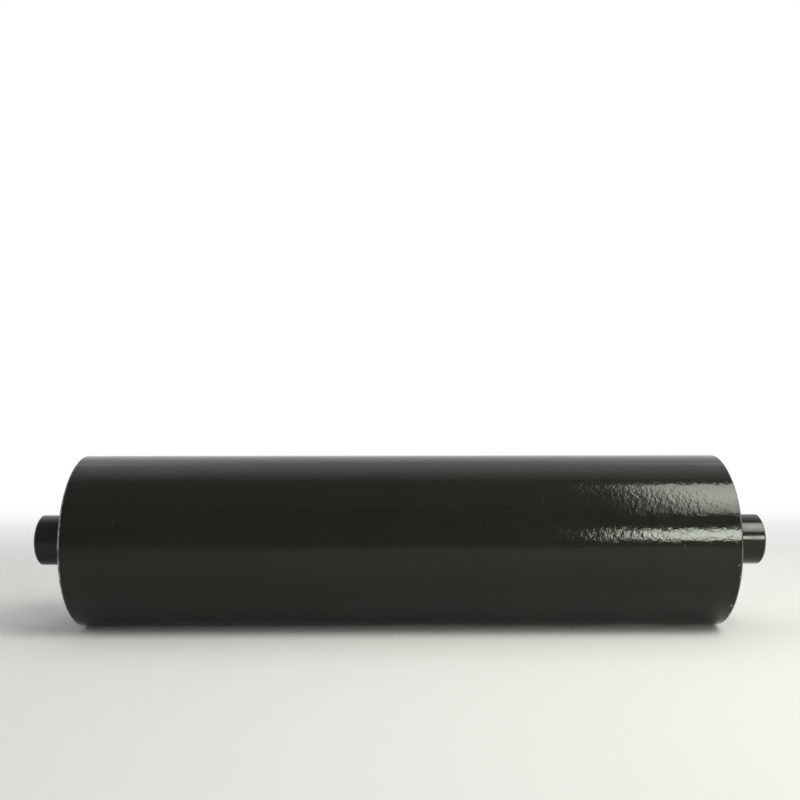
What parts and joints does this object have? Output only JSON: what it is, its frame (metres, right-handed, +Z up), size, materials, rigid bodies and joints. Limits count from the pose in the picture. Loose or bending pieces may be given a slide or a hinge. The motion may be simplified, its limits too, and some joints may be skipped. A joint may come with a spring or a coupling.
{
  "type": "conveyor roller",
  "caption": "Black painted steel idler roller for a belt conveyor: a tube on sealed ball bearings turns on a fixed shaft whose slotted ends drop into the frame's brackets.",
  "frame": {"origin": "middle of the roller, on the axis of the shaft, half way between the shaft ends", "axes": "+X along the shaft to the right end, +Z up, +Y to the side that the milled slots of the shaft ends face"},
  "size_m": [0.434, 0.102, 0.102],
  "materials": {
    "tube_paint": "gloss",
    "shaft_paint": "gloss",
    "housing_paint": "gloss",
    "weld_paint": "gloss",
    "cover_paint": "satin",
    "ring_steel": "polished",
    "ball_steel": "polished",
    "circlip_steel": "satin",
    "cage_nylon": "satin",
    "labyrinth_nylon": "satin",
    "seal_rubber": "matte"
  },
  "bodies": {
    "shaft": {"shaft": "shaft_paint", "bearing_inner_ring_left": "ring_steel", "bearing_inner_ring_right": "ring_steel", "labyrinth_inner_left": "labyrinth_nylon", "labyrinth_inner_right": "labyrinth_nylon", "dust_cover_left": "cover_paint", "dust_cover_right": "cover_paint", "circlip_left": "circlip_steel", "circlip_right": "circlip_steel"},
    "shell": {"shell_tube": "tube_paint", "housing_left": "housing_paint", "housing_right": "housing_paint", "weld_left": "weld_paint", "weld_right": "weld_paint", "bearing_outer_ring_left": "ring_steel", "bearing_outer_ring_right": "ring_steel", "labyrinth_outer_left": "labyrinth_nylon", "labyrinth_outer_right": "labyrinth_nylon", "inner_seal_left": "seal_rubber", "inner_seal_right": "seal_rubber"},
    "cage_left": {"bearing_cage_left": "cage_nylon", "bearing_balls_left": "ball_steel"},
    "cage_right": {"bearing_cage_right": "cage_nylon", "bearing_balls_right": "ball_steel"}
  },
  "joints": [
    {"name": "shell_spin", "type": "hinge", "parent": "shaft", "child": "shell", "pos_m": [0, 0, 0], "axis": [1, 0, 0], "continuous": true},
    {"name": "cage_left_spin", "type": "hinge", "parent": "shaft", "child": "cage_left", "pos_m": [-0.1585, 0, 0], "axis": [1, 0, 0], "continuous": true},
    {"name": "cage_right_spin", "type": "hinge", "parent": "shaft", "child": "cage_right", "pos_m": [0.1585, 0, 0], "axis": [1, 0, 0], "continuous": true}
  ],
  "couplings": [
    {"joint": "cage_left_spin", "follows": "shell_spin", "ratio": 0.6206},
    {"joint": "cage_right_spin", "follows": "shell_spin", "ratio": 0.6206}
  ]
}
